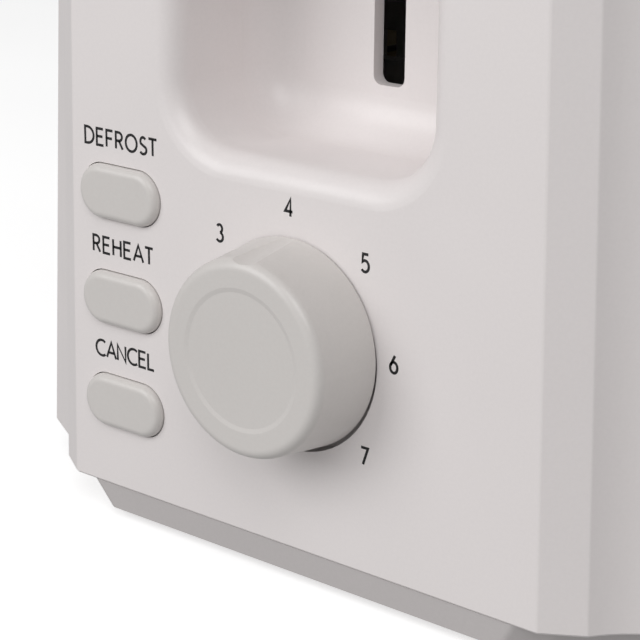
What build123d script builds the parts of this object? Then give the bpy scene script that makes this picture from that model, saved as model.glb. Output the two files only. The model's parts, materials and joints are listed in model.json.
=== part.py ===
from build123d import *
import math
import os

# A two-slice pop up toaster with a moulded plastic housing.
# Millimetres. X runs across the width, +Y points away from the control end, +Z is up.
# The origin lies on the ground, under the middle of the whole object.

# ---------------------------------------------------------------- driving dimensions

# Lengths along Y
housing_length = 260.0
knob_reach = 14.8
bush_reach = 1.2
overall_length = housing_length + knob_reach + bush_reach
front_y = knob_reach - overall_length / 2
rear_y = front_y + housing_length
centre_y = (front_y + rear_y) / 2

# Heights
foot_height = 2.3
base_height = 6.2
housing_bottom = foot_height + base_height
housing_top = 190.0

# Housing plan: half of one end, as (distance from the middle, depth behind the end face)
wall = 2.6
face_half_width = 59.1
chamfer_corner = (66.9, 4.9)
corner_rounding = 1.2
cove_start_heading = 33.0
cove_end_heading = 60.5
cove_chord = 12.5
lip_start = (85.3, 18.7)
body_half_width = 87.5
face_narrowing_per_mm = 0.00042
side_narrowing_per_mm = 0.00062
bottom_bevel = 0.5
shoulder_radius = 18.0
end_rounding = 12.0
seam_depth = lip_start[1]
seam_gap = 0.3
deck_half_width = 59.0

# Cord bush in the rear end
bush_x = 38.0
bush_height = 30.0
bush_hole_radius = 5.5
bush_bore_radius = 3.6
bush_flange_radius = 7.5

# Base tray
base_gap = 0.05
base_top_inset = 0.5
base_bottom_inset = 1.9
base_top_side_inset = 5.3
base_bottom_side_inset = 8.5
base_corner_rounding = 2.6
base_inner_inset = 3.8
base_floor_top = foot_height + 2.0
base_rim_inset = wall + 0.2
base_rim_thickness = 1.5
base_rim_top = housing_bottom + 0.9

# Middle of the controls, across the end face
control_x = 1.3

# Lever recess in the control end
recess_half_width = 30.2
recess_bottom = 85.1
recess_top = 172.2
recess_depth = 28.8
recess_corner = 12.2
recess_back_rounding = 9.0
recess_lip = 5.0
recess_back_wall = 3.0
tub_front_depth = 0.8
lever_slot_width = 7.6
lever_slot_bottom = 96.2
lever_slot_top = 168.0
lever_slot_corner = 1.9

# Browning control
knob_height = housing_bottom + 42.6
knob_rear_radius = 20.7
knob_front_radius = 19.3
knob_clearance = 0.4
knob_rim_depth = 12.7
knob_face_radius = 17.1
knob_bend = (0.62, 1.5)
knob_skirt = 1.8
knob_draft = 0.4
knob_front_wall = 1.5
hub_radius = 5.5
hub_end = -2.0
shaft_end = 9.0
knob_disc_radius = 13.5
knob_disc_drop = 0.22
knob_disc_slope = 0.9
pointer_radius = 9.0
pointer_depth = 0.22
pointer_tilt = 2.0
shaft_radius = 3.0
running_clearance = 0.06

# Well in the control end that the knob turns over, a little low under it
well_radius = 20.8
well_depth = 3.6
well_wall = 1.6
well_x = control_x - 0.1
well_height = knob_height - 0.9
hub_hole_radius = 7.5

# Push buttons
button_x = control_x - 45.0
button_length = 21.7
button_width = 11.3
button_proud = 1.7
button_rounding = 1.6
button_clearance = 0.2
button_pitch = 22.4
middle_button_height = knob_height - 1.0
button_names = {"defrost_button": 1, "reheat_button": 0, "cancel_button": -1}

# Toasting chamber
chamber_front = -59.0
chamber_rear = 95.0
sheet = 1.0
plate_half_width = 64.0
plate_top = 180.0
slot_centre_x = 25.0
slot_half_width = 16.0
slot_front = -53.0
slot_rear = 89.0
guard_offset = 14.4
guard_wire = 0.8
card_thickness = 0.8
outer_card_x = 51.0
card_bottom = 38.0
card_top = 168.0

# Carriage and latch
carriage_travel = 58.0
rod_y = -76.0
rod_radius = 3.0
rod_bottom = 18.0
rod_tab_top = 178.0
lever_bottom = 155.0
lever_top = 165.0
spring_x = -14.0
spring_bottom = 146.0
spring_pitch = 2.6
spring_radius = 4.0
spring_wire_radius = 0.55
spring_end_gap = 1.0
magnet_x = 44.0
magnet_y = -82.0
armature_top = 124.0
armature_thickness = 1.4
latch_gap = 0.2
magnet_top = armature_top - armature_thickness - carriage_travel - latch_gap

# Circuit board
board_y = front_y + 20.0
board_thickness = 1.6

# Crumb tray
tray_half_width = 44.0
tray_front = -58.0
tray_bottom = 4.9
tray_top = 12.5
tray_sheet = 0.8
tray_opening_half_width = 46.0
tray_opening_top = 15.5

# Fasteners
boss_x = 50.0
boss_depth = 13.0
boss_top = 19.0
screw_radius = 1.5
chassis_screw_x = 56.0


# ---------------------------------------------------------------- helpers

def block(x_range, y_range, z_range):
    """A box between two limits on each axis."""
    size = [high - low for low, high in (x_range, y_range, z_range)]
    middle = [(high + low) / 2 for low, high in (x_range, y_range, z_range)]
    return Pos(*middle) * Box(*size)


def upright(radius, x, y, z_range):
    """A cylinder that stands on Z."""
    low, high = z_range
    return Pos(x, y, (low + high) / 2) * Cylinder(radius, high - low)


def lengthways(radius, x, z, y_range):
    """A cylinder that lies along Y."""
    low, high = y_range
    return Pos(x, (low + high) / 2, z) * Rot(90, 0, 0) * Cylinder(radius, high - low)


def face_plane(y):
    """A vertical plane across the object, seen from the control end, with its normal along -Y."""
    return Plane(origin=(0, y, 0), x_dir=(1, 0, 0), z_dir=(0, -1, 0))


def rounded_panel(x_range, z_range, radius, y_range):
    """A plate across the object with rounded corners, seen from the control end."""
    low, high = y_range
    width = x_range[1] - x_range[0]
    height = z_range[1] - z_range[0]
    outline = Pos(sum(x_range) / 2, sum(z_range) / 2) * RectangleRounded(width, height, radius)
    return extrude(face_plane(high) * outline, amount=high - low)


def obround(length, width, x, z, y_range):
    """A plate with two half-round ends, seen from the control end."""
    low, high = y_range
    return extrude(face_plane(high) * Pos(x, z) * SlotOverall(length, width), amount=high - low)


def in_group(solids):
    """Separate solids that share one node."""
    return Compound(children=list(solids))


# ---------------------------------------------------------------- housing form

def arc_middle(start, end, start_heading, end_heading):
    """Middle of an arc in plan that leaves start and reaches end at two headings from Y."""
    half_turn = math.radians(end_heading - start_heading) / 2
    heading = math.radians(start_heading + end_heading) / 2
    half_chord = math.dist(start, end) / 2
    bulge = half_chord * math.tan(half_turn / 2)
    x = (start[0] + end[0]) / 2 - bulge * math.cos(heading)
    depth = (start[1] + end[1]) / 2 + bulge * math.sin(heading)
    return x, depth


def plan_point(point, heading, turn, inset, height):
    """A plan corner moved inwards by inset, where the wall turns by turn about heading."""
    angle = math.radians(heading)
    shift = inset / math.cos(math.radians(turn) / 2)
    x = point[0] * narrowing(point[0], height) - shift * math.cos(angle)
    y = point[1] - housing_length / 2 + shift * math.sin(angle)
    return x, y


def narrowing(x, height):
    """How much the housing narrows at a height, more at its sides than at its end faces."""
    share = (x - face_half_width) / (body_half_width - face_half_width)
    per_mm = face_narrowing_per_mm + share * (side_narrowing_per_mm - face_narrowing_per_mm)
    return 1 - (height - housing_bottom) * per_mm


def housing_section(inset, height, at_height, side_inset=0.0, rounding=0.0):
    """Plan of the housing at a height, inset on every side, placed at at_height."""
    chamfer_heading = math.degrees(
        math.atan2(chamfer_corner[0] - face_half_width, chamfer_corner[1])
    )
    middle_heading = (cove_start_heading + cove_end_heading) / 2
    cove_end = (
        chamfer_corner[0] + cove_chord * math.sin(math.radians(middle_heading)),
        chamfer_corner[1] + cove_chord * math.cos(math.radians(middle_heading)),
    )
    cove_middle = arc_middle(chamfer_corner, cove_end, cove_start_heading, cove_end_heading)
    lip_heading = cove_end_heading + 1.0
    lip_radius = (body_half_width - lip_start[0]) / (1 - math.cos(math.radians(lip_heading)))
    lip_end = (body_half_width, lip_start[1] + lip_radius * math.sin(math.radians(lip_heading)))
    lip_middle = arc_middle(lip_start, lip_end, lip_heading, 0)

    def moved(point, heading, turn):
        x, y = plan_point(point, heading, turn, inset, height)
        return x - side_inset, y

    face_corner = moved(
        (face_half_width, 0), (90 + chamfer_heading) / 2, 90 - chamfer_heading
    )
    chamfer_end = moved(
        chamfer_corner,
        (chamfer_heading + cove_start_heading) / 2,
        chamfer_heading - cove_start_heading,
    )
    cove_mid = moved(cove_middle, middle_heading, 0)
    cove_finish = moved(cove_end, cove_end_heading, 0)
    lip_begin = moved(lip_start, lip_heading, 0)
    lip_mid = moved(lip_middle, lip_heading / 2, 0)
    side_start = moved(lip_end, 0, 0)
    outline = Line((0, face_corner[1]), face_corner)
    outline += Line(face_corner, chamfer_end)
    outline += ThreePointArc(chamfer_end, cove_mid, cove_finish)
    outline += Line(cove_finish, lip_begin)
    outline += ThreePointArc(lip_begin, lip_mid, side_start)
    outline += Line(side_start, (side_start[0], 0))
    outline += mirror(outline, Plane.YZ)
    outline += mirror(outline, Plane.XZ)
    section = make_face(outline.edges())
    if rounding:
        corners = [
            vertex
            for vertex in section.vertices()
            for corner in (face_corner, chamfer_end)
            if math.dist((abs(vertex.X), -abs(vertex.Y)), corner) < 0.01
        ]
        section = fillet(corners, rounding)
    return Pos(0, centre_y, at_height) * section


def shoulder_form(inset):
    """Front view of the housing, with its rounded shoulders, along the whole length."""
    spare = 0.02
    low = housing_bottom - 2
    top = housing_top - inset
    half_low = body_half_width * narrowing(body_half_width, low) - inset + spare
    half_top = body_half_width * narrowing(body_half_width, top) - inset + spare
    sketch = make_face(
        Polyline((-half_low, low), (half_low, low), (half_top, top), (-half_top, top), close=True)
    )
    upper_corners = sketch.vertices().sort_by(Axis.Y)[-2:]
    sketch = fillet(upper_corners, shoulder_radius - inset)
    return extrude(face_plane(rear_y + 5) * sketch, amount=housing_length + 10)


def end_form(inset):
    """Side view of the housing, with both top ends rounded, across the whole width."""
    low = housing_bottom - 2
    top = housing_top - inset
    half = housing_length / 2 - inset
    body = block((-100, 100), (centre_y - half, centre_y + half), (low, top))
    top_ends = body.edges().filter_by(Axis.X).group_by(Axis.Z)[-1]
    return fillet(top_ends, end_rounding - inset)


def housing_form(inset):
    """The solid that the housing fills, taken in by inset. An inset one runs out of the bottom."""
    if inset:
        low = housing_bottom - 1.0
        sections = [
            housing_section(inset, low, low),
            housing_section(inset, housing_top, housing_top),
        ]
    else:
        edge = housing_bottom + bottom_bevel
        sections = [
            housing_section(bottom_bevel, edge, housing_bottom, rounding=corner_rounding),
            housing_section(0.0, edge, edge, rounding=corner_rounding),
            housing_section(0.0, housing_top, housing_top, rounding=corner_rounding),
        ]
    rounded_top = end_form(inset) & shoulder_form(inset)
    return loft(sections, ruled=True) & rounded_top


def end_zone(from_front):
    """Everything that belongs to one end cap."""
    if from_front:
        return block((-100, 100), (front_y - 1, front_y + seam_depth), (0, 200))
    return block((-100, 100), (rear_y - seam_depth, rear_y + 1), (0, 200))


def screw_boss(x, y, face_y):
    """A screw post on a rib that ties it to the end wall."""
    post = upright(4.0, x, y, (housing_bottom, boss_top))
    rib_ends = sorted((face_y, y))
    rib = block((x - 1.2, x + 1.2), rib_ends, (base_rim_top + base_gap, boss_top))
    return post + rib - upright(screw_radius, x, y, (housing_bottom, boss_top - 3))


# ---------------------------------------------------------------- housing pieces

def lever_recess_void():
    """The hollow that the lever moves in, with a well rounded back."""
    void = rounded_panel(
        (control_x - recess_half_width, control_x + recess_half_width),
        (recess_bottom, recess_top),
        recess_corner,
        (front_y - 1, front_y + recess_depth),
    )
    back_edges = void.faces().sort_by(Axis.Y)[-1].edges()
    return fillet(back_edges, recess_back_rounding)


def lever_recess_tub():
    """The moulded tub around the recess."""
    tub = rounded_panel(
        (control_x - recess_half_width - wall, control_x + recess_half_width + wall),
        (recess_bottom - wall, recess_top + wall),
        recess_corner + wall,
        (front_y + tub_front_depth, front_y + recess_depth + recess_back_wall),
    )
    back_edges = tub.faces().sort_by(Axis.Y)[-1].edges()
    return fillet(back_edges, recess_back_rounding + wall)


def lever_slot():
    return rounded_panel(
        (control_x - lever_slot_width / 2, control_x + lever_slot_width / 2),
        (lever_slot_bottom, lever_slot_top),
        lever_slot_corner,
        (front_y + recess_depth - 1, front_y + recess_depth + recess_back_wall + 1),
    )


def button_height(step):
    return middle_button_height + step * button_pitch


def round_recess_lip(cap):
    """Rounds the mouth of the lever recess where it meets the end face."""
    mouth = [
        edge
        for edge in cap.edges()
        if abs(edge.center().Y - front_y) < 0.01
        and abs(edge.center().X - control_x) < recess_half_width + 0.1
        and recess_bottom - 0.1 < edge.center().Z < recess_top + 0.1
    ]
    return fillet(mouth, recess_lip)


def add_knob_well(cap):
    """The shallow round tub under the knob, with the hole for its hub."""
    floor_y = front_y + well_depth
    tub_range = (front_y + wall - 0.1, floor_y + well_wall)
    cap += lengthways(well_radius + well_wall, well_x, well_height, tub_range)
    cap -= lengthways(well_radius, well_x, well_height, (front_y - 1, floor_y))
    hole_range = (front_y - 1, floor_y + well_wall + 1)
    return cap - lengthways(hub_hole_radius, control_x, knob_height, hole_range)


def control_end_cap(shell):
    cap = shell & end_zone(True)
    cap += lever_recess_tub()
    cap -= lever_recess_void()
    cap = round_recess_lip(cap)
    cap -= lever_slot()
    cap = add_knob_well(cap)
    for step in button_names.values():
        length = button_length + 2 * button_clearance
        width = button_width + 2 * button_clearance
        cap -= obround(
            length, width, button_x, button_height(step), (front_y - 1, front_y + wall + 1)
        )
    for x in (-boss_x, boss_x):
        cap += screw_boss(x, front_y + boss_depth, front_y + wall - 0.2)
    for x in (-28.0, 28.0):
        for z in (20.0, 72.0):
            cap += lengthways(2.5, x, z, (front_y + wall - 0.2, board_y))
    return cap


def rear_end_cap(shell):
    cap = shell & end_zone(False)
    for x in (-boss_x, boss_x):
        cap += screw_boss(x, rear_y - boss_depth, rear_y - wall + 0.2)
    cap -= tray_opening()
    cap -= lengthways(bush_hole_radius, bush_x, bush_height, (rear_y - wall - 1, rear_y + 1))
    return cap


def side_shell(shell, side):
    """One side wall with its shoulder, up to the deck."""
    length = (front_y + seam_depth + seam_gap, rear_y - seam_depth - seam_gap)
    across = sorted((side * 1.0, side * 100.0))
    deck_zone = block(
        (-deck_half_width - seam_gap, deck_half_width + seam_gap), (-200, 200), (150, 200)
    )
    return (shell & block(across, length, (0, 200))) - deck_zone


def bread_slot(side, grow, z_range):
    """The prism of one bread slot, grown on every side."""
    x_middle = side * slot_centre_x
    half = slot_half_width + grow
    outline = RectangleRounded(2 * half, slot_rear - slot_front + 2 * grow, 5.0 + grow)
    low, high = z_range
    centre = Pos(x_middle, (slot_front + slot_rear) / 2, low)
    return extrude(centre * outline, amount=high - low)


def top_bezel(shell):
    """The deck between the shoulders, with a collar down around each bread slot."""
    length = (front_y + seam_depth + seam_gap, rear_y - seam_depth - seam_gap)
    deck = shell & block(
        (-deck_half_width, deck_half_width), length, (housing_top - wall - 1, 200)
    )
    for side in (-1, 1):
        deck += bread_slot(side, 1.6, (housing_top - wall - 6, housing_top - 1))
        deck -= bread_slot(side, 0, (housing_top - 20, housing_top + 1))
    rims = [
        edge
        for edge in deck.edges()
        if edge.center().Z > housing_top - 0.01
        and slot_front - 1 < edge.center().Y < slot_rear + 1
        and abs(edge.center().X) < deck_half_width - 5
    ]
    return fillet(rims, 1.4)


def tray_opening():
    half = tray_opening_half_width
    return block((-half, half), (rear_y - 12, rear_y + 2), (base_floor_top, tray_opening_top))


def base_vents():
    """Two rows of air slots in the floor, ahead of the crumb tray."""
    vents = []
    for row_y in (-98.0, -76.0):
        for step in range(-4, 5):
            slot = SlotOverall(16.0, 3.0, rotation=90)
            vents.append(extrude(Pos(step * 9.0, row_y, foot_height - 1) * slot, amount=4.0))
    return vents


def base_section(inset, side_inset, at_height, rounding=0.0):
    return housing_section(
        inset, housing_bottom, at_height, side_inset=side_inset, rounding=rounding
    )


def base_tray():
    """A flared tub under the housing, with a rim that stands inside the housing wall."""
    top = housing_bottom - base_gap
    tray = loft(
        [
            base_section(
                base_bottom_inset, base_bottom_side_inset, foot_height, base_corner_rounding
            ),
            base_section(base_top_inset, base_top_side_inset, top, base_corner_rounding),
        ],
        ruled=True,
    )
    rim_bottom = base_rim_top - base_rim_thickness
    tray += extrude(
        housing_section(base_rim_inset, housing_bottom, rim_bottom), amount=base_rim_thickness
    )
    tray -= loft(
        [
            base_section(base_inner_inset, base_bottom_side_inset, base_floor_top),
            base_section(base_inner_inset, base_top_side_inset, base_rim_top + 1),
        ],
        ruled=True,
    )
    tray -= tray_opening()
    for x, y in boss_places():
        tray -= upright(5.5, x, y, (base_floor_top, base_rim_top + 1))
        tray += upright(5.0, x, y, (foot_height + 1.0, housing_bottom))
    for x, y in boss_places() + chassis_screw_places():
        tray -= upright(screw_radius + 0.2, x, y, (0, 10))
        tray -= upright(3.1, x, y, (0, foot_height + 1.4))
    for vent in base_vents():
        tray -= vent
    return tray


def boss_places():
    return [
        (x, y)
        for x in (-boss_x, boss_x)
        for y in (front_y + boss_depth, rear_y - boss_depth)
    ]


def chassis_screw_places():
    return [
        (x, y)
        for x in (-chassis_screw_x, chassis_screw_x)
        for y in (chamber_front - 7, chamber_rear + 7)
    ]


def foot(x, y):
    pad = upright(7.0, x, y, (0, foot_height))
    return fillet(pad.edges().sort_by(Axis.Z)[0], 0.6)


def feet():
    places = [(x, centre_y + y) for x in (-48.0, 48.0) for y in (-92.0, 88.0)]
    return in_group(foot(x, y) for x, y in places)


def screw(x, y, length):
    """A pan head screw driven up from under the base."""
    head_low = foot_height
    head = upright(2.8, x, y, (head_low, head_low + 1.4))
    shank = upright(screw_radius, x, y, (head_low + 1.4, head_low + length))
    cross = block((x - 0.4, x + 0.4), (y - 1.7, y + 1.7), (head_low - 1, head_low + 0.7))
    cross += block((x - 1.7, x + 1.7), (y - 0.4, y + 0.4), (head_low - 1, head_low + 0.7))
    return head + shank - cross


def cord_bush():
    """The lined hole that the mains cord comes out of."""
    body = lengthways(bush_hole_radius, bush_x, bush_height, (rear_y - wall - 2, rear_y))
    flange = lengthways(bush_flange_radius, bush_x, bush_height, (rear_y, rear_y + bush_reach))
    flange = fillet(flange.edges().sort_by(Axis.Y)[-1], 0.8)
    bore = lengthways(bush_bore_radius, bush_x, bush_height, (rear_y - wall - 4, rear_y + 3))
    return body + flange - bore


# ---------------------------------------------------------------- chassis

def end_plate(inner_y, outwards):
    """A pressed steel wall of the chamber. outwards is -1 at the control end, +1 at the rear."""
    outer_y = inner_y + outwards * sheet
    across = sorted((inner_y, outer_y))
    plate = block((-plate_half_width, plate_half_width), across, (base_floor_top, plate_top))
    half = tray_opening_half_width
    plate -= block((-half, half), (across[0] - 1, across[1] + 1), (0, tray_opening_top))
    for x in (-slot_centre_x, slot_centre_x):
        plate -= block((x - 1.6, x + 1.6), (across[0] - 1, across[1] + 1), (22, 100))
    for x in (-chassis_screw_x, chassis_screw_x):
        tab_y = sorted((outer_y, outer_y + outwards * 12))
        tab = block((x - 6, x + 6), tab_y, (base_floor_top, base_floor_top + sheet))
        hole_y = inner_y + outwards * 7
        plate += tab - upright(screw_radius, x, hole_y, (0, 10))
    return plate


def front_end_plate():
    """The wall at the control end, with two bent tabs that hold the guide rod."""
    plate = end_plate(chamber_front, -1)
    for low in (rod_bottom, rod_tab_top):
        tab = block((-19, 10), (rod_y - 8, chamber_front - sheet), (low, low + 1.5))
        plate += tab - upright(rod_radius, 0, rod_y, (low - 1, low + 3))
    return plate


def heat_shield(side):
    x_range = sorted((side * 58.0, side * (58.0 + sheet)))
    shield = block(x_range, (chamber_front, chamber_rear), (tray_opening_top, 176))
    for z in (60.0, 100.0, 140.0):
        groove_x = sorted((side * 57.0, side * 58.4))
        shield -= block(groove_x, (chamber_front + 12, chamber_rear - 12), (z, z + 4))
    return shield


def mica_card(x):
    half = card_thickness / 2
    return block((x - half, x + half), (chamber_front, chamber_rear), (card_bottom, card_top))


def element_face(x_range):
    """One flat heating ribbon, wound back and forth up a card."""
    rows = 14
    pitch = 8.4
    ends = (chamber_front + 9, chamber_rear - 9)
    ribbon = []
    for row in range(rows):
        low = card_bottom + 8 + row * pitch
        ribbon.append(block(x_range, ends, (low, low + 1.4)))
        if row < rows - 1:
            turn_y = ends[row % 2]
            link_y = (turn_y, turn_y + 1.4) if row % 2 == 0 else (turn_y - 1.4, turn_y)
            ribbon.append(block(x_range, link_y, (low, low + pitch)))
    return ribbon[0].fuse(*ribbon[1:])


def element_ribbon(x, faces):
    """The ribbons of one card. faces lists the sides, -1 or +1, that carry one."""
    half = card_thickness / 2
    solids = []
    for side in faces:
        x_range = sorted((x + side * half, x + side * (half + 0.3)))
        solids.append(element_face(x_range))
    return in_group(solids)


def guard_grille(x):
    """Upright wires that keep the bread off the elements."""
    rails = [lengthways(guard_wire, x, z, (chamber_front, chamber_rear)) for z in (32.0, 180.0)]
    wires = []
    for step in range(10):
        y = slot_front + 4 + step * 15.0
        wires.append(upright(guard_wire, x, y, (28, 184)))
    return rails[0].fuse(rails[1], *wires)


def carriage_rod():
    return upright(rod_radius, 0, rod_y, (rod_bottom - 3, rod_tab_top + 4))


def carriage_buffer():
    """A rubber ring under the upper tab that stops the carriage softly."""
    ring = upright(6.0, 0, rod_y, (rod_tab_top - 1.8, rod_tab_top))
    return ring - upright(rod_radius, 0, rod_y, (rod_tab_top - 4, rod_tab_top + 2))


# ---------------------------------------------------------------- latch and electrics

def magnet_bracket():
    shelf = block((magnet_x - 10, magnet_x + 10), (magnet_y - 7, chamber_front - sheet), (40, 41.5))
    flange_y = (chamber_front - sheet - 1.5, chamber_front - sheet)
    return shelf + block((magnet_x - 10, magnet_x + 10), flange_y, (30, 40))


def magnet_core():
    """An E-shaped laminated core, open at the top."""
    along = (magnet_y - 6, magnet_y + 6)
    core = block((magnet_x - 9, magnet_x + 9), along, (41.5, 43.5))
    for x in (magnet_x - 8, magnet_x, magnet_x + 8):
        half = 2.0 if x == magnet_x else 1.0
        core += block((x - half, x + half), along, (43.5, magnet_top))
    return core


def magnet_coil():
    """The winding around the middle limb."""
    coil = block(
        (magnet_x - 6, magnet_x + 6), (magnet_y - 9, magnet_y + 9), (44.0, magnet_top - 2.4)
    )
    coil = fillet(coil.edges().filter_by(Axis.Z), 2.5)
    return coil - block(
        (magnet_x - 2, magnet_x + 2), (magnet_y - 6, magnet_y + 6), (40, magnet_top + 2)
    )


def circuit_board():
    return block((-60, 34), (board_y, board_y + board_thickness), (16, 76))


def potentiometer():
    """The rotary control behind the knob, with the bush that its shaft turns in."""
    body = block(
        (control_x - 8.5, control_x + 8.5),
        (board_y - 7, board_y),
        (knob_height - 8.5, knob_height + 8.5),
    )
    neck = lengthways(4.5, control_x, knob_height, (board_y - 13, board_y - 7))
    bore = lengthways(
        shaft_radius + running_clearance, control_x, knob_height, (board_y - 14, board_y - 3)
    )
    return body + neck - bore


def tact_switch(z):
    body = block((button_x - 3.5, button_x + 3.5), (board_y - 4, board_y), (z - 3.5, z + 3.5))
    return body - lengthways(1.8, button_x, z, (board_y - 5, board_y - 1.2))


def mains_contacts():
    """The contact block that the carriage closes."""
    body = block((-34, -14), (board_y + board_thickness, board_y + 12), (24, 44))
    return fillet(body.edges().filter_by(Axis.Y), 2.0)


# ---------------------------------------------------------------- moving pieces

def carriage():
    """The sliding bracket that joins the lever, the lifters and the armature."""
    sleeve = upright(6.0, 0, rod_y, (armature_top + 2, rod_tab_top - 1.9))
    spine = block((-9, 9), (rod_y + 4, rod_y + 7), (82, 162))
    crossbar = block((-31, 31), (rod_y + 5, rod_y + 9), (82, 96))
    arm = block((0, magnet_x + 8), (rod_y - 6, rod_y + 5), (armature_top, armature_top + 2))
    ear = block((-18, 0), (rod_y - 3, rod_y + 5), (143, 146))
    bracket = block(
        (control_x - 3.5, control_x - 1.5), (rod_y - 13, rod_y), (lever_bottom, lever_top)
    )
    frame = sleeve + spine + crossbar + arm + ear + bracket
    bore = upright(rod_radius + running_clearance, 0, rod_y, (50, 200))
    return frame - bore


def armature_plate():
    """The steel keeper that the electromagnet holds down."""
    return block(
        (magnet_x - 9, magnet_x + 9),
        (magnet_y - 6, magnet_y + 6),
        (armature_top - armature_thickness, armature_top),
    )


def carriage_spring():
    """The tension coil that lifts the carriage."""
    height = rod_tab_top - spring_bottom - 2 * spring_end_gap
    coil = Helix(pitch=spring_pitch, height=height, radius=spring_radius)
    path = Pos(spring_x, rod_y, spring_bottom + spring_end_gap) * coil
    start = path.position_at(0)
    section = Plane(origin=start, z_dir=path.tangent_at(0)) * Circle(spring_wire_radius)
    return sweep(section, path=path, is_frenet=True)


def lever_arm():
    across = (control_x - 1.5, control_x + 1.5)
    return block(across, (front_y + 11, rod_y - 10), (lever_bottom, lever_top))


def lever_knob():
    """The wide thumb piece on the end of the lever arm."""
    y_range = (front_y - 8, front_y + 17)
    body = block((control_x - 21, control_x + 21), y_range, (lever_bottom - 2, lever_top + 5))
    body = fillet(body.edges().filter_by(Axis.Z), 6.0)
    body = fillet(body.faces().sort_by(Axis.Z)[-1].edges(), 3.0)
    body = fillet(body.faces().sort_by(Axis.Z)[0].edges(), 2.0)
    dish = Pos(control_x, front_y + 1, lever_top + 5 + 38.6) * Sphere(40.0)
    socket = block(
        (control_x - 1.5, control_x + 1.5),
        (front_y + 11, front_y + 20),
        (lever_bottom, lever_top),
    )
    return body - dish - socket


def bread_lifter(side):
    """One rail along a bread slot, with cross fingers that carry the slice."""
    x = side * slot_centre_x
    rail = block((x - 0.7, x + 0.7), (rod_y + 9, chamber_rear + 7), (84, 93.2))
    fingers = []
    for step in range(6):
        y = slot_front + 11 + step * 24.0
        fingers.append(block((x - 8, x + 8), (y, y + 5), (93.2, 94.4)))
    return rail.fuse(*fingers)


def browning_shaft():
    return lengthways(shaft_radius, control_x, knob_height, (front_y - 9, board_y - 3.5))


def browning_knob():
    """A tapered knob with a rounded rim, a lowered disc in its face and a dished pointer."""
    rim = knob_rim_depth
    front = knob_reach
    disc = front - knob_disc_drop
    outline = [
        (0, disc),
        (knob_disc_radius - knob_disc_slope / 2, disc),
        (knob_disc_radius + knob_disc_slope / 2, front),
        (knob_face_radius, front),
    ]
    half = Line(outline[0], outline[1]) + Line(outline[1], outline[2])
    half += Line(outline[2], outline[3])
    bend = (knob_front_radius - knob_bend[0], rim + knob_bend[1])
    half += ThreePointArc(outline[3], bend, (knob_front_radius, rim))
    skirt_inner = knob_rear_radius - knob_skirt
    hollow_top = rim - knob_front_wall
    rear = [
        (knob_front_radius, rim),
        (knob_rear_radius, knob_clearance),
        (skirt_inner, knob_clearance),
        (knob_front_radius - knob_skirt - knob_draft, hollow_top),
        (hub_radius, hollow_top),
        (hub_radius, hub_end),
        (shaft_radius, hub_end),
        (shaft_radius, shaft_end),
        (0, shaft_end),
        (0, disc),
    ]
    for start, end in zip(rear, rear[1:]):
        half += Line(start, end)
    origin = (control_x, front_y, knob_height)
    profile = Plane(origin=origin, x_dir=(1, 0, 0), z_dir=(0, 0, 1))
    section = profile * mirror(make_face(half.edges()), Plane.XZ)
    knob = revolve(section, axis=Axis(origin, (0, 1, 0)))
    taper = math.degrees(math.atan2(knob_rear_radius - knob_front_radius, rim - knob_clearance))
    side_radius = (knob_rear_radius + knob_front_radius) / 2
    rise = side_radius - pointer_depth + pointer_radius
    tilt = taper + pointer_tilt
    pointer = Rot(90 + tilt, 0, 0) * Cylinder(pointer_radius, 3 * knob_reach)
    return knob - Pos(control_x, front_y - rim / 2, knob_height + rise) * pointer


def push_button(step):
    """A button with a retaining flange and a stem that ends in its switch."""
    z = button_height(step)
    cap = obround(
        button_length, button_width, button_x, z, (front_y - button_proud, front_y + wall + 0.2)
    )
    cap = fillet(cap.faces().sort_by(Axis.Y)[0].edges(), button_rounding)
    flange_y = (front_y + wall + 0.2, front_y + wall + 1.4)
    flange = obround(button_length - 1.0, button_width + 2.8, button_x, z, flange_y)
    stem = lengthways(2.4, button_x, z, (flange_y[1], board_y - 6.4))
    tip = lengthways(1.6, button_x, z, (board_y - 6.4, board_y - 3.6))
    return cap + flange + stem + tip


def crumb_tray():
    """A folded sheet pan under the chamber."""
    half = tray_half_width
    rear = rear_y - 3.0
    pan = block((-half, half), (tray_front, rear), (tray_bottom, tray_top))
    return pan - block(
        (-half + tray_sheet, half - tray_sheet),
        (tray_front + tray_sheet, rear - tray_sheet),
        (tray_bottom + tray_sheet, tray_top + 1),
    )


def crumb_tray_handle():
    """The plastic front of the crumb tray, with a grip along its top."""
    half = tray_opening_half_width - 0.6
    plate = block((-half, half), (rear_y - 3.0, rear_y - 0.3), (base_floor_top + 0.4, 14.9))
    grip = block((-16, 16), (rear_y - 0.3, rear_y + bush_reach), (12.4, 14.6))
    grip = fillet(grip.edges().filter_by(Axis.Z).group_by(Axis.Y)[-1], 0.9)
    return plate + grip


# ---------------------------------------------------------------- assembly

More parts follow.
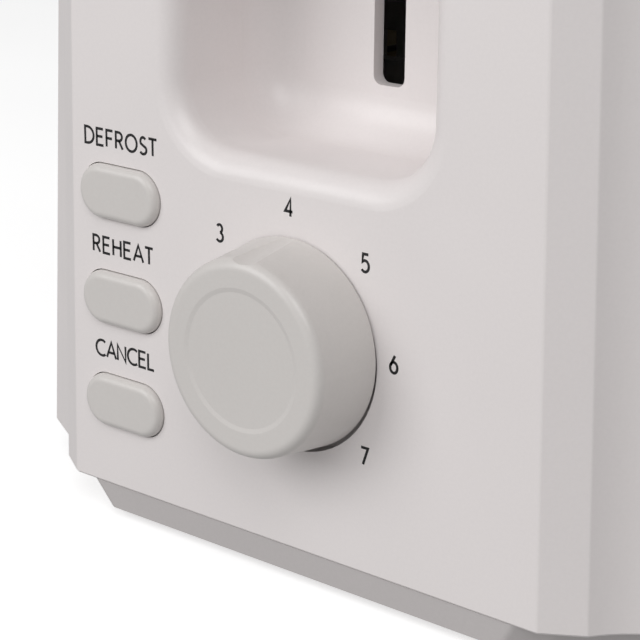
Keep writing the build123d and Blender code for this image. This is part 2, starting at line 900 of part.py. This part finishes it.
def build_nodes():
    shell = housing_form(0.0) - housing_form(wall)
    nodes = {
        "control_end_cap": control_end_cap(shell),
        "rear_end_cap": rear_end_cap(shell),
        "left_side_shell": side_shell(shell, -1),
        "right_side_shell": side_shell(shell, 1),
        "top_bezel": top_bezel(shell),
        "base_tray": base_tray(),
        "feet": feet(),
        "base_screws": in_group(screw(x, y, 12.0) for x, y in boss_places()),
        "chassis_screws": in_group(screw(x, y, 6.0) for x, y in chassis_screw_places()),
        "cord_bush": cord_bush(),
        "front_end_plate": front_end_plate(),
        "rear_end_plate": end_plate(chamber_rear, 1),
        "left_heat_shield": heat_shield(-1),
        "right_heat_shield": heat_shield(1),
        "carriage_rod": carriage_rod(),
        "carriage_buffer": carriage_buffer(),
        "magnet_bracket": magnet_bracket(),
        "magnet_core": magnet_core(),
        "magnet_coil": magnet_coil(),
        "circuit_board": circuit_board(),
        "potentiometer": potentiometer(),
        "mains_contacts": mains_contacts(),
        "carriage": carriage(),
        "armature_plate": armature_plate(),
        "carriage_spring": carriage_spring(),
        "lever_arm": lever_arm(),
        "lever_knob": lever_knob(),
        "left_bread_lifter": bread_lifter(-1),
        "right_bread_lifter": bread_lifter(1),
        "browning_shaft": browning_shaft(),
        "browning_knob": browning_knob(),
        "crumb_tray": crumb_tray(),
        "crumb_tray_handle": crumb_tray_handle(),
    }
    switches = []
    for name, step in button_names.items():
        nodes[name] = push_button(step)
        switches.append(tact_switch(button_height(step)))
    nodes["tact_switches"] = in_group(switches)
    cards = {"left": (-outer_card_x, (1,)), "centre": (0, (-1, 1)), "right": (outer_card_x, (-1,))}
    for name, (x, faces) in cards.items():
        nodes[name + "_mica_card"] = mica_card(x)
        nodes[name + "_element_ribbon"] = element_ribbon(x, faces)
    for side_name, side in (("left", -1), ("right", 1)):
        for place, offset in (("inner", -guard_offset), ("outer", guard_offset)):
            x = side * (slot_centre_x + offset)
            nodes[f"{side_name}_{place}_guard"] = guard_grille(x)
    return nodes


os.makedirs("parts", exist_ok=True)
for node_name, shape in build_nodes().items():
    export_step(shape, f"parts/{node_name}.step")
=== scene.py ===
import json
import math

import bmesh
import bpy
from mathutils import Matrix, Vector


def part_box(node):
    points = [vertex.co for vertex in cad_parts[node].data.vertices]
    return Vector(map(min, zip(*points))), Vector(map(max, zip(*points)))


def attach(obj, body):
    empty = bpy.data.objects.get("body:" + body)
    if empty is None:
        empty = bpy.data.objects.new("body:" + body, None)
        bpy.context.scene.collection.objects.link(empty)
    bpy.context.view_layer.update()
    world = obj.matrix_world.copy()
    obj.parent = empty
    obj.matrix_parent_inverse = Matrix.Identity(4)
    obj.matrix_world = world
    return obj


# The looks of a pop up toaster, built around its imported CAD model.
# Metres, +Z up. The control end looks along -Y.

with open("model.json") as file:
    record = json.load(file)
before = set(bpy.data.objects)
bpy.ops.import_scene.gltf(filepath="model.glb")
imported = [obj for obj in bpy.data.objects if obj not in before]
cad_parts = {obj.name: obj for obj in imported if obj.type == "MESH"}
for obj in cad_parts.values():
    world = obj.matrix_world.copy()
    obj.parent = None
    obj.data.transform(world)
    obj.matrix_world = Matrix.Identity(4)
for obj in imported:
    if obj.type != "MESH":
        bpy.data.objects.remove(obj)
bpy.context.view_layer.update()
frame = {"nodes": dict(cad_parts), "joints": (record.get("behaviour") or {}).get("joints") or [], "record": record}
nodes = frame["nodes"]
record = frame["record"]


# ---------------------------------------------------------------- places read from the frame

MM = 0.001
joints = {joint["name"]: joint for joint in frame["joints"]}
knob_axis = Vector(joints["browning_turn"]["pos_m"])
face_y = knob_axis.y

# ---------------------------------------------------------------- camera

CAMERA_FROM_KNOB = Vector((232.2, -272.3, 118.9)) * MM
# Degrees
CAMERA_HEADING = 39.59
CAMERA_TILT = -17.73
CAMERA_ROLL = 0.48
# Millimetres, on a sensor 36 mm wide
CAMERA_LENS = 111.6
SENSOR_WIDTH = 36.0


def add_camera():
    data = bpy.data.cameras.new("camera")
    data.sensor_width = SENSOR_WIDTH
    data.lens = CAMERA_LENS
    data.clip_start = 0.01
    data.clip_end = 50.0
    camera = bpy.data.objects.new("camera", data)
    bpy.context.scene.collection.objects.link(camera)
    turn = (
        Matrix.Rotation(math.radians(90.0), 4, "X")
        @ Matrix.Rotation(math.radians(CAMERA_HEADING), 4, "Y")
        @ Matrix.Rotation(math.radians(CAMERA_TILT), 4, "X")
        @ Matrix.Rotation(math.radians(CAMERA_ROLL), 4, "Z")
    )
    camera.matrix_world = Matrix.Translation(knob_axis + CAMERA_FROM_KNOB) @ turn
    bpy.context.scene.camera = camera


# ---------------------------------------------------------------- shader helpers

def new_material(name):
    """A material, its node tree and its Principled shader."""
    material = bpy.data.materials.new(name)
    material.use_nodes = True
    tree = material.node_tree
    return material, tree, tree.nodes["Principled BSDF"]


def noise(tree, size, detail=2.0, stretch=(1.0, 1.0, 1.0)):
    """Noise with blotches about size across, drawn out along an axis by a stretch under 1."""
    place = tree.nodes.new("ShaderNodeTexCoord")
    mapping = tree.nodes.new("ShaderNodeMapping")
    mapping.inputs["Scale"].default_value = stretch
    texture = tree.nodes.new("ShaderNodeTexNoise")
    texture.inputs["Scale"].default_value = 1.0 / size
    texture.inputs["Detail"].default_value = detail
    tree.links.new(place.outputs["Object"], mapping.inputs["Vector"])
    tree.links.new(mapping.outputs["Vector"], texture.inputs["Vector"])
    return texture.outputs["Fac"]


def bands(tree, size, axis):
    """Even bands, size apart, stacked along an axis."""
    unscaled_size = math.tau / 20.0
    place = tree.nodes.new("ShaderNodeTexCoord")
    wave = tree.nodes.new("ShaderNodeTexWave")
    wave.bands_direction = axis
    wave.inputs["Scale"].default_value = unscaled_size / size
    tree.links.new(place.outputs["Object"], wave.inputs["Vector"])
    return wave.outputs["Fac"]


def flakes(tree, size):
    """A value that differs from one flake to the next."""
    place = tree.nodes.new("ShaderNodeTexCoord")
    cells = tree.nodes.new("ShaderNodeTexVoronoi")
    cells.inputs["Scale"].default_value = 1.0 / size
    separate = tree.nodes.new("ShaderNodeSeparateColor")
    tree.links.new(place.outputs["Object"], cells.inputs["Vector"])
    tree.links.new(cells.outputs["Color"], separate.inputs["Color"])
    return separate.outputs["Red"]


def to_range(tree, value, low, high, start=0.3, end=0.7):
    """Maps the part of a pattern between start and end onto low to high."""
    node = tree.nodes.new("ShaderNodeMapRange")
    node.inputs["From Min"].default_value = start
    node.inputs["From Max"].default_value = end
    node.inputs["To Min"].default_value = low
    node.inputs["To Max"].default_value = high
    tree.links.new(value, node.inputs["Value"])
    return node.outputs["Result"]


def added(tree, first, second):
    """The sum of two values."""
    node = tree.nodes.new("ShaderNodeMath")
    node.operation = "ADD"
    tree.links.new(first, node.inputs[0])
    tree.links.new(second, node.inputs[1])
    return node.outputs["Value"]


def color_between(tree, factor, first, second):
    """A colour between two, by a factor from 0 to 1."""
    node = tree.nodes.new("ShaderNodeMix")
    node.data_type = "RGBA"
    sockets = {socket.identifier: socket for socket in node.inputs}
    sockets["A_Color"].default_value = (*first, 1.0)
    sockets["B_Color"].default_value = (*second, 1.0)
    tree.links.new(factor, sockets["Factor_Float"])
    results = {socket.identifier: socket for socket in node.outputs}
    return results["Result_Color"]


def raised(tree, height, depth, under=None):
    """A bump of a given depth from a pattern, on top of another bump where there is one."""
    node = tree.nodes.new("ShaderNodeBump")
    node.inputs["Distance"].default_value = depth
    tree.links.new(height, node.inputs["Height"])
    if under:
        tree.links.new(under, node.inputs["Normal"])
    return node.outputs["Normal"]


def scaled(color, factor):
    """A colour made darker or lighter."""
    return tuple(value * factor for value in color)


# ---------------------------------------------------------------- finishes

PLASTIC_IOR = 1.49


def moulded_plastic(name, color, roughness, variation=0.02, grain=1.2 * MM, grain_depth=0.006 * MM):
    """Satin moulded plastic: faint cloudiness, a fine grain and a little surface waviness."""
    cloud_size, speck_size, handled_size, wave_size = 45 * MM, 0.7 * MM, 16 * MM, 30 * MM
    wave_depth = 0.05 * MM
    material, tree, shader = new_material(name)
    clouds = to_range(tree, noise(tree, cloud_size), low=0.0, high=0.6)
    specks = to_range(tree, noise(tree, speck_size, detail=1.0), low=0.0, high=0.4)
    shade = color_between(
        tree,
        added(tree, clouds, specks),
        scaled(color, 1.0 - variation),
        scaled(color, 1.0 + variation),
    )
    handled = to_range(
        tree, noise(tree, handled_size, detail=4.0), low=roughness - 0.04, high=roughness + 0.05
    )
    waves = raised(tree, noise(tree, wave_size, detail=0.0), wave_depth)
    peel = raised(tree, noise(tree, grain, detail=1.0), grain_depth, under=waves)
    tree.links.new(shade, shader.inputs["Base Color"])
    tree.links.new(handled, shader.inputs["Roughness"])
    tree.links.new(peel, shader.inputs["Normal"])
    shader.inputs["IOR"].default_value = PLASTIC_IOR
    return material


def rolled_metal(name, color, roughness, stretch, tarnish):
    """Metal with rolling or drawing marks along one axis and a cloudy tarnish."""
    line_size, cloud_size, line_depth = 0.5 * MM, 14 * MM, 0.01 * MM
    material, tree, shader = new_material(name)
    lines = noise(tree, line_size, detail=3.0, stretch=stretch)
    cloud = to_range(tree, noise(tree, cloud_size, detail=5.0), low=0.0, high=1.0)
    shade = color_between(tree, cloud, color, tarnish)
    worn = added(
        tree,
        to_range(tree, lines, low=roughness - 0.08, high=roughness + 0.04),
        to_range(tree, cloud, low=0.0, high=0.1, start=0.0, end=1.0),
    )
    tree.links.new(shade, shader.inputs["Base Color"])
    tree.links.new(worn, shader.inputs["Roughness"])
    tree.links.new(raised(tree, lines, line_depth), shader.inputs["Normal"])
    shader.inputs["Metallic"].default_value = 1.0
    return material


def pressed_mica(name):
    """Sheets of pale mica flakes pressed together."""
    flake_size, flake_depth = 3 * MM, 0.03 * MM
    material, tree, shader = new_material(name)
    chips = flakes(tree, flake_size)
    tree.links.new(
        color_between(tree, chips, (0.50, 0.44, 0.33), (0.36, 0.30, 0.20)),
        shader.inputs["Base Color"],
    )
    tree.links.new(to_range(tree, chips, low=0.3, high=0.55), shader.inputs["Roughness"])
    tree.links.new(raised(tree, chips, flake_depth), shader.inputs["Normal"])
    return material


def oxidised_ribbon(name):
    """Resistance ribbon, dulled and blued by heat."""
    stain_size, scale_size, scale_depth = 9 * MM, 0.6 * MM, 0.01 * MM
    material, tree, shader = new_material(name)
    heat = to_range(tree, noise(tree, stain_size, detail=3.0), low=0.0, high=1.0)
    tree.links.new(
        color_between(tree, heat, (0.30, 0.28, 0.27), (0.16, 0.16, 0.20)),
        shader.inputs["Base Color"],
    )
    tree.links.new(
        to_range(tree, heat, low=0.38, high=0.6, start=0.0, end=1.0), shader.inputs["Roughness"]
    )
    tree.links.new(raised(tree, noise(tree, scale_size), scale_depth), shader.inputs["Normal"])
    shader.inputs["Metallic"].default_value = 1.0
    return material


def matt_rubber(name, color):
    """Soft rubber with a fine dusty grain."""
    dust_size, grain, grain_depth = 2.5 * MM, 0.5 * MM, 0.02 * MM
    material, tree, shader = new_material(name)
    dust = to_range(tree, noise(tree, dust_size, detail=6.0), low=0.0, high=1.0)
    tree.links.new(
        color_between(tree, dust, color, scaled(color, 1.7)), shader.inputs["Base Color"]
    )
    tree.links.new(
        to_range(tree, dust, low=0.7, high=0.9, start=0.0, end=1.0), shader.inputs["Roughness"]
    )
    tree.links.new(raised(tree, noise(tree, grain), grain_depth), shader.inputs["Normal"])
    return material


def paper_board(name):
    """Resin bonded paper: brown, with fibres along the board and a waxy surface."""
    fibre_size, fibre_depth = 0.8 * MM, 0.01 * MM
    material, tree, shader = new_material(name)
    fibres = noise(tree, fibre_size, detail=4.0, stretch=(0.1, 1.0, 1.0))
    fibre_mix = to_range(tree, fibres, low=0.0, high=1.0)
    tree.links.new(
        color_between(tree, fibre_mix, (0.40, 0.26, 0.11), (0.28, 0.17, 0.07)),
        shader.inputs["Base Color"],
    )
    tree.links.new(to_range(tree, fibres, low=0.4, high=0.55), shader.inputs["Roughness"])
    tree.links.new(raised(tree, fibres, fibre_depth), shader.inputs["Normal"])
    return material


def copper_turns(name):
    """Enamelled wire, wound in close turns, with painted shade in the grooves between them."""
    wire, smear_size = 0.4 * MM, 3 * MM
    material, tree, shader = new_material(name)
    turns = bands(tree, wire, "Z")
    # The colour runs from dark brown in the grooves between turns to bright copper on their crests: painted shade
    # in the grooves, on top of the bump that shapes the turns.
    tree.links.new(
        color_between(tree, turns, (0.20, 0.06, 0.02), (0.55, 0.21, 0.07)),
        shader.inputs["Base Color"],
    )
    tree.links.new(
        to_range(tree, noise(tree, smear_size), low=0.25, high=0.45), shader.inputs["Roughness"]
    )
    tree.links.new(raised(tree, turns, wire / 4), shader.inputs["Normal"])
    shader.inputs["Metallic"].default_value = 0.6
    return material


def printed_ink(name):
    """Pad printed black ink, a little uneven."""
    blot_size, blot_depth = 0.8 * MM, 0.004 * MM
    material, tree, shader = new_material(name)
    cover = to_range(tree, noise(tree, blot_size, detail=3.0), low=0.0, high=1.0)
    tree.links.new(
        color_between(tree, cover, (0.004, 0.004, 0.005), (0.012, 0.011, 0.012)),
        shader.inputs["Base Color"],
    )
    tree.links.new(
        to_range(tree, cover, low=0.4, high=0.6, start=0.0, end=1.0), shader.inputs["Roughness"]
    )
    tree.links.new(raised(tree, cover, blot_depth), shader.inputs["Normal"])
    return material


HOUSING_COLOR = (0.840, 0.794, 0.788)
CONTROL_COLOR = (0.680, 0.650, 0.628)
BASE_COLOR = (0.610, 0.575, 0.570)

DARK_COLOR = (0.028, 0.027, 0.027)
STEEL_COLOR = (0.66, 0.65, 0.64)
STEEL_TARNISH = (0.54, 0.53, 0.51)
WIRE_COLOR = (0.62, 0.61, 0.60)
WIRE_TARNISH = (0.50, 0.48, 0.46)
RUBBER_COLOR = (0.020, 0.020, 0.021)
# Scales that draw a noise out along the height
UPRIGHT_LINES = (1.0, 1.0, 0.03)


def finishes():
    """One finish for each material slot of the record."""
    return {
        "housing_plastic": moulded_plastic("housing_plastic", HOUSING_COLOR, 0.36),
        "control_plastic": moulded_plastic(
            "control_plastic", CONTROL_COLOR, 0.33, variation=0.025
        ),
        "base_plastic": moulded_plastic(
            "base_plastic", BASE_COLOR, 0.46, variation=0.03, grain=0.8 * MM, grain_depth=0.012 * MM
        ),
        "dark_plastic": moulded_plastic(
            "dark_plastic", DARK_COLOR, 0.5, variation=0.2, grain=0.6 * MM
        ),
        "sheet_steel": rolled_metal(
            "sheet_steel", STEEL_COLOR, 0.42, UPRIGHT_LINES, STEEL_TARNISH
        ),
        "bright_wire": rolled_metal(
            "bright_wire", WIRE_COLOR, 0.24, UPRIGHT_LINES, WIRE_TARNISH
        ),
        "rubber": matt_rubber("rubber", RUBBER_COLOR),
        "mica": pressed_mica("mica"),
        "heating_wire": oxidised_ribbon("heating_wire"),
        "board": paper_board("board"),
        "copper_winding": copper_turns("copper_winding"),
    }


def finish_nodes(looks):
    """Gives each CAD node the finish of its material slot."""
    for subpart in record["subparts"]:
        slots = nodes[subpart["node"]].data.materials
        slots.clear()
        slots.append(looks[subpart["material_slot"]])


# ---------------------------------------------------------------- printed marks

CAP_HEIGHT = 3.9 * MM
# From the middle of a button up to the baseline of its word
LABEL_RISE = 9.0 * MM
LABEL_WIDTHS = {"defrost": 20.3 * MM, "reheat": 17.2 * MM, "cancel": 17.2 * MM}
# Width of a stroke, in heights of a capital
STROKE = 0.14
# How far the ink stands out of the end face, and how far it reaches into it
INK_PROUD = 0.03 * MM
INK_SUNK = 0.02 * MM
# Degrees between the points of a bow
BOW_STEP = 9.0
# A mitre is at most half a stroke width divided by this
MITRE_LIMIT = 0.5
# Points closer than this, in heights of a capital, are one
SAME_PLACE = 1e-6
# Each number stands at an angle from the top, in degrees, and at a distance from the knob's axis.
DIAL = {
    "1": (-135.0, 25.8 * MM),
    "2": (-90.0, 25.8 * MM),
    "3": (-45.0, 25.8 * MM),
    "4": (-1.6, 26.3 * MM),
    "5": (42.8, 25.9 * MM),
    "6": (87.4, 24.6 * MM),
    "7": (135.7, 25.9 * MM),
}


def run(*points):
    """A stroke of straight runs."""
    return [Vector(point) for point in points]


def bow(x, y, across, up, start, end):
    """A stroke along part of an ellipse, between two angles."""
    steps = max(4, round(abs(end - start) / BOW_STEP))
    angles = [math.radians(start + (end - start) * step / steps) for step in range(steps + 1)]
    return [Vector((x + across * math.cos(a), y + up * math.sin(a))) for a in angles]


# Strokes of each mark, in heights of a capital, from its lower left corner. First its width.
MARKS = {
    "A": (0.60, [run((-0.04, 0), (0.30, 1), (0.64, 0)), run((0.08, 0.33), (0.52, 0.33))]),
    "C": (0.66, [bow(0.42, 0.5, 0.42, 0.5, 52, 308)]),
    "D": (0.62, [run((0, 0), (0, 1), (0.16, 1)) + bow(0.16, 0.5, 0.46, 0.5, 80, -80)
                 + run((0.16, 0), (0, 0))]),
    "E": (0.48, [run((0.47, 1), (0, 1), (0, 0), (0.48, 0)), run((0, 0.53), (0.42, 0.53))]),
    "F": (0.45, [run((0.45, 1), (0, 1), (0, 0)), run((0, 0.52), (0.40, 0.52))]),
    "H": (0.55, [run((0, 0), (0, 1)), run((0.55, 0), (0.55, 1)), run((0, 0.53), (0.55, 0.53))]),
    "L": (0.42, [run((0, 1), (0, 0), (0.42, 0))]),
    "N": (0.58, [run((0, 0), (0, 1), (0.58, 0), (0.58, 1))]),
    "O": (0.78, [bow(0.39, 0.5, 0.39, 0.5, 0, 360)]),
    "R": (0.48, [run((0, 0), (0, 1), (0.20, 1)) + bow(0.20, 0.745, 0.24, 0.255, 80, -80)
                 + run((0.20, 0.49), (0, 0.49)), run((0.22, 0.49), (0.48, 0))]),
    "S": (0.45, [bow(0.23, 0.75, 0.19, 0.25, 35, 215) + bow(0.22, 0.25, 0.23, 0.25, 38, -148)]),
    "T": (0.42, [run((-0.07, 1), (0.49, 1)), run((0.21, 1), (0.21, 0))]),
    "1": (0.22, [run((0, 0.78), (0.22, 1), (0.22, 0))]),
    "2": (0.44, [bow(0.22, 0.74, 0.21, 0.26, 165, -32) + run((0, 0), (0.44, 0))]),
    "3": (0.42, [bow(0.20, 0.765, 0.17, 0.235, 150, -80), bow(0.20, 0.265, 0.22, 0.265, 80, -148)]),
    "4": (0.46, [run((0.33, 0), (0.33, 1), (0, 0.28), (0.46, 0.28))]),
    "5": (0.42, [run((0.38, 1), (0.07, 1), (0.04, 0.56)) + bow(0.19, 0.32, 0.23, 0.32, 126, -142)]),
    "6": (0.42, [bow(0.21, 0.31, 0.21, 0.31, 0, 360), run((0.03, 0.43), (0.27, 1))]),
    "7": (0.42, [run((0, 1), (0.42, 1), (0.13, 0))]),
}


def side_points(stroke, half, closed):
    """Both sides of a stroke, half a stroke width out, mitred at each turn."""
    sides = []
    last = len(stroke) - 1
    for place, point in enumerate(stroke):
        before = stroke[place - 1] if place or closed else point
        after = stroke[(place + 1) % len(stroke)] if place < last or closed else point
        ways = [
            way.normalized() for way in (point - before, after - point) if way.length > SAME_PLACE
        ]
        outs = [Vector((-way.y, way.x)) for way in ways]
        out = sum(outs, Vector((0.0, 0.0))).normalized()
        reach = half / max(out.dot(outs[0]), MITRE_LIMIT)
        sides.append((point + out * reach, point - out * reach))
    return sides


def add_stroke(mesh, stroke, corner, size):
    """Adds one stroke as a thin solid ribbon on the end face, joined up where it is a ring."""
    half = STROKE / 2
    middle_line = [Vector((half + point.x, half + point.y * (1 - STROKE))) for point in stroke]
    closed = (middle_line[0] - middle_line[-1]).length < SAME_PLACE
    if closed:
        middle_line.pop()
    rings = []
    for left, right in side_points(middle_line, half, closed):
        ring = []
        for flat, depth in (
            (left, -INK_PROUD), (right, -INK_PROUD), (right, INK_SUNK), (left, INK_SUNK)
        ):
            place = (corner.x + flat.x * size, face_y + depth, corner.y + flat.y * size)
            ring.append(mesh.verts.new(place))
        rings.append(ring)
    following_rings = rings[1:] + rings[:1] if closed else rings[1:]
    for ring, following in zip(rings, following_rings):
        for side in range(4):
            beside = (side + 1) % 4
            mesh.faces.new((ring[side], ring[beside], following[beside], following[side]))
    if not closed:
        mesh.faces.new(rings[0])
        mesh.faces.new(reversed(rings[-1]))


def print_marks(name, text_places, ink):
    """One printed piece. text_places lists each text, the middle of its baseline and its width.

    The width is None for a single mark, which has its own.
    """
    mesh = bmesh.new()
    for text, middle, width in text_places:
        widths = [MARKS[mark][0] + STROKE for mark in text]
        gap = 0.0
        if len(text) > 1:
            gap = (width / CAP_HEIGHT - sum(widths)) / (len(text) - 1)
        x = -(sum(widths) + gap * (len(text) - 1)) / 2
        for mark, mark_width in zip(text, widths):
            for stroke in MARKS[mark][1]:
                corner = Vector((middle.x + x * CAP_HEIGHT, middle.y))
                add_stroke(mesh, stroke, corner, CAP_HEIGHT)
            x += mark_width + gap
    bmesh.ops.recalc_face_normals(mesh, faces=mesh.faces)
    data = bpy.data.meshes.new(name)
    mesh.to_mesh(data)
    mesh.free()
    data.materials.append(ink)
    piece = bpy.data.objects.new(name, data)
    bpy.context.scene.collection.objects.link(piece)
    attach(piece, "housing")


def print_labels(ink):
    """The function words above the buttons and the numbers around the knob."""
    for word, width in LABEL_WIDTHS.items():
        low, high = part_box(word + "_button")
        middle = Vector(((low.x + high.x) / 2, (low.z + high.z) / 2 + LABEL_RISE))
        print_marks(word + "_label", [(word.upper(), middle, width)], ink)
    numbers = []
    for number, (angle, reach) in DIAL.items():
        x = knob_axis.x + reach * math.sin(math.radians(angle))
        z = knob_axis.z + reach * math.cos(math.radians(angle)) - CAP_HEIGHT / 2
        numbers.append((number, Vector((x, z)), None))
    print_marks("dial_numbers", numbers, ink)


# ---------------------------------------------------------------- stage

SKY_LIGHT = 0.30
GROUND_LIGHT = 0.38
# The two blend within this much of the horizon, as a part of the way up to the zenith
HORIZON = 0.2
FLOOR_HALF = 6.0
FLOOR_CLOUDS = 0.3
FLOOR_GLOW = 0.5
# Places and sizes in metres, powers in watts
LEFT_PLACE = (-0.9, -1.7, 1.0)
LEFT_SIZE = 1.3
LEFT_POWER = 17.5
RIGHT_PLACE = (0.6, -1.0, 1.1)
RIGHT_SIZE = 0.9
RIGHT_POWER = 7.3


def add_floor():
    """A wide pale floor that glows faintly. Its light doesn't reach the toaster."""
    mesh = bmesh.new()
    bmesh.ops.create_grid(mesh, x_segments=8, y_segments=8, size=FLOOR_HALF)
    data = bpy.data.meshes.new("floor")
    mesh.to_mesh(data)
    mesh.free()
    material, tree, shader = new_material("floor")
    paper = to_range(tree, noise(tree, FLOOR_CLOUDS, detail=3.0), low=0.0, high=1.0)
    tree.links.new(
        color_between(tree, paper, (0.80, 0.80, 0.80), (0.84, 0.84, 0.84)),
        shader.inputs["Base Color"],
    )
    tree.links.new(
        to_range(tree, paper, low=0.7, high=0.85, start=0.0, end=1.0), shader.inputs["Roughness"]
    )
    shader.inputs["Emission Color"].default_value = (1.0, 1.0, 1.0, 1.0)
    shader.inputs["Emission Strength"].default_value = FLOOR_GLOW
    data.materials.append(material)
    floor = bpy.data.objects.new("floor", data)
    bpy.context.scene.collection.objects.link(floor)
    floor.visible_diffuse = False
    floor.visible_glossy = False
    floor.visible_shadow = False


def add_light(name, place, size, power):
    """A large soft square light that faces the middle of the control end."""
    data = bpy.data.lights.new(name, "AREA")
    data.shape = "SQUARE"
    data.size = size
    data.energy = power
    light = bpy.data.objects.new(name, data)
    bpy.context.scene.collection.objects.link(light)
    light.location = place
    aim = knob_axis - light.location
    light.rotation_euler = aim.to_track_quat("-Z", "Y").to_euler()


def light_scene():
    """Plain light from all around, and two large soft lights at the front."""
    scene = bpy.context.scene
    scene.view_settings.view_transform = "Standard"
    world = bpy.data.worlds.new("world")
    scene.world = world
    world.use_nodes = True
    tree = world.node_tree
    place = tree.nodes.new("ShaderNodeTexCoord")
    height = tree.nodes.new("ShaderNodeSeparateXYZ")
    tree.links.new(place.outputs["Generated"], height.inputs["Vector"])
    light = to_range(
        tree, height.outputs["Z"], GROUND_LIGHT, SKY_LIGHT, start=-HORIZON, end=HORIZON
    )
    tree.links.new(light, tree.nodes["Background"].inputs["Strength"])
    tree.nodes["Background"].inputs["Color"].default_value = (1.0, 1.0, 1.0, 1.0)
    add_light("left_light", LEFT_PLACE, LEFT_SIZE, LEFT_POWER)
    add_light("right_light", RIGHT_PLACE, RIGHT_SIZE, RIGHT_POWER)


# ---------------------------------------------------------------- assembly

add_camera()
finish_nodes(finishes())
print_labels(printed_ink("printed_ink"))
add_floor()
light_scene()
